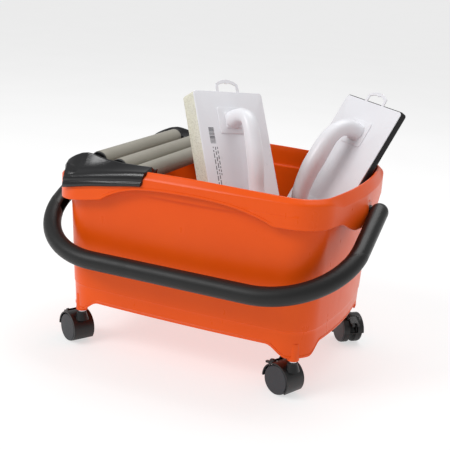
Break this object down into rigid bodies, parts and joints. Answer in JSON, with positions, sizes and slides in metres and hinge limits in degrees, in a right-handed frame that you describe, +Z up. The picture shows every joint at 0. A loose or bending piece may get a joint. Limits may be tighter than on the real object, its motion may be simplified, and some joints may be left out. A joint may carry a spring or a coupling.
{
  "type": "tiler's wash tub kit",
  "caption": "Open tub on swivelling casters with a swinging bail, a squeeze-roller rack on the rim, a sediment grid and two hand floats that lift out.",
  "frame": {"origin": "middle of the whole kit's bottom, on the floor plane", "axes": "+X along the tub's long side towards the end without rollers, +Y across the tub away from the hanging bail, +Z up"},
  "size_m": [0.575, 0.4382, 0.4718],
  "materials": {
    "tub_orange": "satin injection-moulded polypropylene",
    "handle_black": "satin",
    "grip_black": "satin",
    "bright_steel": "bright plated",
    "bracket_black": "glossy",
    "roller_grey": "matte",
    "caster_black": "satin",
    "wheel_black": "satin",
    "wheel_disc_grey": "fine matte",
    "float_white": "glossy white",
    "sponge_cream": "open-cell foam",
    "rubber_black": "dense cellular rubber"
  },
  "bodies": {
    "tub": {"tub": "tub_orange", "stem_sleeves": "bright_steel", "bail_pivot_left": "bright_steel", "bail_pivot_right": "bright_steel", "sediment_grid": "tub_orange", "grid_legs": "tub_orange", "stem_fl": "bright_steel", "stem_fr": "bright_steel", "stem_br": "bright_steel", "stem_bl": "bright_steel"},
    "bail": {"bail": "handle_black", "bail_grip": "grip_black"},
    "roller_rack": {"bracket_front": "bracket_black", "bracket_back": "bracket_black", "roller_axle_1": "bright_steel", "roller_axle_2": "bright_steel", "roller_axle_3": "bright_steel"},
    "sponge_float": {"sponge_float_plate": "float_white", "sponge_float_pad": "sponge_cream", "sponge_float_handle": "float_white"},
    "rubber_float": {"rubber_float_plate": "float_white", "rubber_float_pad": "rubber_black", "rubber_float_handle": "float_white"},
    "roller_1": {"roller_tube_1": "roller_grey", "roller_end_caps_1": "bracket_black"},
    "roller_2": {"roller_tube_2": "roller_grey", "roller_end_caps_2": "bracket_black"},
    "roller_3": {"roller_tube_3": "roller_grey", "roller_end_caps_3": "bracket_black"},
    "caster_fl": {"hood_fl": "caster_black", "wheel_axle_fl": "bright_steel"},
    "wheel_a_fl": {"wheel_a_fl": "wheel_black", "wheel_cap_a_fl": "wheel_disc_grey"},
    "wheel_b_fl": {"wheel_b_fl": "wheel_black", "wheel_cap_b_fl": "wheel_disc_grey"},
    "brake_fl": {"brake_lever_fl": "caster_black"},
    "caster_fr": {"hood_fr": "caster_black", "wheel_axle_fr": "bright_steel"},
    "wheel_a_fr": {"wheel_a_fr": "wheel_black", "wheel_cap_a_fr": "wheel_disc_grey"},
    "wheel_b_fr": {"wheel_b_fr": "wheel_black", "wheel_cap_b_fr": "wheel_disc_grey"},
    "brake_fr": {"brake_lever_fr": "caster_black"},
    "caster_br": {"hood_br": "caster_black", "wheel_axle_br": "bright_steel"},
    "wheel_a_br": {"wheel_a_br": "wheel_black", "wheel_cap_a_br": "wheel_disc_grey"},
    "wheel_b_br": {"wheel_b_br": "wheel_black", "wheel_cap_b_br": "wheel_disc_grey"},
    "brake_br": {"brake_lever_br": "caster_black"},
    "caster_bl": {"hood_bl": "caster_black", "wheel_axle_bl": "bright_steel"},
    "wheel_a_bl": {"wheel_a_bl": "wheel_black", "wheel_cap_a_bl": "wheel_disc_grey"},
    "wheel_b_bl": {"wheel_b_bl": "wheel_black", "wheel_cap_b_bl": "wheel_disc_grey"},
    "brake_bl": {"brake_lever_bl": "caster_black"}
  },
  "joints": [
    {"name": "bail_swing", "type": "hinge", "parent": "tub", "child": "bail", "pos_m": [0, 0.00625, 0.287], "axis": [-1, 0, 0], "range_deg": [0, 117]},
    {"name": "rack_lift", "type": "slide", "parent": "tub", "child": "roller_rack", "axis": [0, 0, 1], "range_m": [0, 0.08]},
    {"name": "roller_1_spin", "type": "hinge", "parent": "roller_rack", "child": "roller_1", "pos_m": [-0.173, 0.00625, 0.331], "axis": [0, 1, 0], "continuous": true},
    {"name": "roller_2_spin", "type": "hinge", "parent": "roller_rack", "child": "roller_2", "pos_m": [-0.134, 0.00625, 0.324], "axis": [0, 1, 0], "continuous": true},
    {"name": "roller_3_spin", "type": "hinge", "parent": "roller_rack", "child": "roller_3", "pos_m": [-0.0995, 0.00625, 0.317], "axis": [0, 1, 0], "continuous": true},
    {"name": "swivel_fl", "type": "hinge", "parent": "tub", "child": "caster_fl", "pos_m": [-0.197, -0.13475, 0.05], "axis": [0, 0, 1], "continuous": true},
    {"name": "wheel_a_fl_spin", "type": "hinge", "parent": "caster_fl", "child": "wheel_a_fl", "pos_m": [-0.21227, -0.12663, 0.025], "axis": [-0.4695, -0.8829, 0], "continuous": true},
    {"name": "wheel_b_fl_spin", "type": "hinge", "parent": "caster_fl", "child": "wheel_b_fl", "pos_m": [-0.21227, -0.12663, 0.025], "axis": [-0.4695, -0.8829, 0], "continuous": true},
    {"name": "brake_fl_press", "type": "hinge", "parent": "caster_fl", "child": "brake_fl", "pos_m": [-0.22608, -0.11929, 0.05002], "axis": [-0.4695, -0.8829, 0], "range_deg": [0, 12]},
    {"name": "swivel_fr", "type": "hinge", "parent": "tub", "child": "caster_fr", "pos_m": [0.197, -0.13475, 0.05], "axis": [0, 0, 1], "continuous": true},
    {"name": "wheel_a_fr_spin", "type": "hinge", "parent": "caster_fr", "child": "wheel_a_fr", "pos_m": [0.18102, -0.12813, 0.025], "axis": [-0.3827, -0.9239, 0], "continuous": true},
    {"name": "wheel_b_fr_spin", "type": "hinge", "parent": "caster_fr", "child": "wheel_b_fr", "pos_m": [0.18102, -0.12813, 0.025], "axis": [-0.3827, -0.9239, 0], "continuous": true},
    {"name": "brake_fr_press", "type": "hinge", "parent": "caster_fr", "child": "brake_fr", "pos_m": [0.16657, -0.12215, 0.05002], "axis": [-0.3827, -0.9239, 0], "range_deg": [0, 12]},
    {"name": "swivel_br", "type": "hinge", "parent": "tub", "child": "caster_br", "pos_m": [0.197, 0.14725, 0.05], "axis": [0, 0, 1], "continuous": true},
    {"name": "wheel_a_br_spin", "type": "hinge", "parent": "caster_br", "child": "wheel_a_br", "pos_m": [0.20858, 0.13439, 0.025], "axis": [0.7431, 0.6691, 0], "continuous": true},
    {"name": "wheel_b_br_spin", "type": "hinge", "parent": "caster_br", "child": "wheel_b_br", "pos_m": [0.20858, 0.13439, 0.025], "axis": [0.7431, 0.6691, 0], "continuous": true},
    {"name": "brake_br_press", "type": "hinge", "parent": "caster_br", "child": "brake_br", "pos_m": [0.21904, 0.12278, 0.05002], "axis": [0.7431, 0.6691, 0], "range_deg": [0, 12]},
    {"name": "swivel_bl", "type": "hinge", "parent": "tub", "child": "caster_bl", "pos_m": [-0.197, 0.14725, 0.05], "axis": [0, 0, 1], "continuous": true},
    {"name": "wheel_a_bl_spin", "type": "hinge", "parent": "caster_bl", "child": "wheel_a_bl", "pos_m": [-0.21268, 0.13994, 0.025], "axis": [0.4226, -0.9063, 0], "continuous": true},
    {"name": "wheel_b_bl_spin", "type": "hinge", "parent": "caster_bl", "child": "wheel_b_bl", "pos_m": [-0.21268, 0.13994, 0.025], "axis": [0.4226, -0.9063, 0], "continuous": true},
    {"name": "brake_bl_press", "type": "hinge", "parent": "caster_bl", "child": "brake_bl", "pos_m": [-0.22685, 0.13333, 0.05002], "axis": [0.4226, -0.9063, 0], "range_deg": [0, 12]},
    {"name": "sponge_float_lift", "type": "slide", "parent": "tub", "child": "sponge_float", "axis": [-0.3767, 0.2923, 0.879], "range_m": [0, 0.4]},
    {"name": "rubber_float_lift", "type": "slide", "parent": "tub", "child": "rubber_float", "axis": [0.3207, 0.3989, 0.8591], "range_m": [0, 0.4]}
  ]
}
